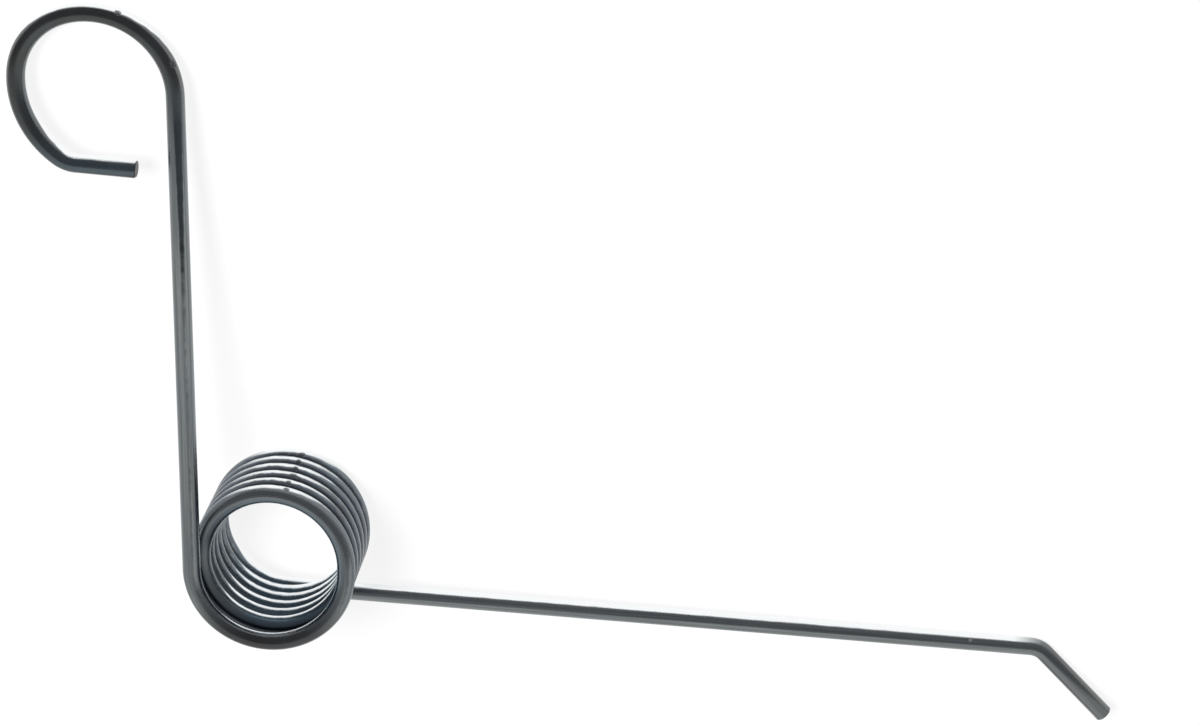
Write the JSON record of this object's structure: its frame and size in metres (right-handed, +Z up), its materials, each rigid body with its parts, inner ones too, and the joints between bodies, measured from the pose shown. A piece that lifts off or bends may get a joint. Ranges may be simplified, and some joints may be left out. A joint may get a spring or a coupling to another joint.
{
  "type": "scarifier spring tine",
  "caption": "Spring-wire scarifier tine: a hooked upper arm, a close-wound torsion coil that threads onto a bar, and a long straight tine with a short bent tip.",
  "frame": {"origin": "middle of the footprint of the tine as it lies, on the floor", "axes": "+Z up, +X along the straight tine towards its bent tip, +Y towards the hook"},
  "size_m": [0.24, 0.1724, 0.0348],
  "materials": {
    "zinc_plated_spring_steel": "bright zinc-plated drawn spring wire, with fine lengthwise drawing lines and a faint blue tint"
  },
  "bodies": {
    "root": {"spring_tine": "zinc_plated_spring_steel"}
  },
  "joints": []
}
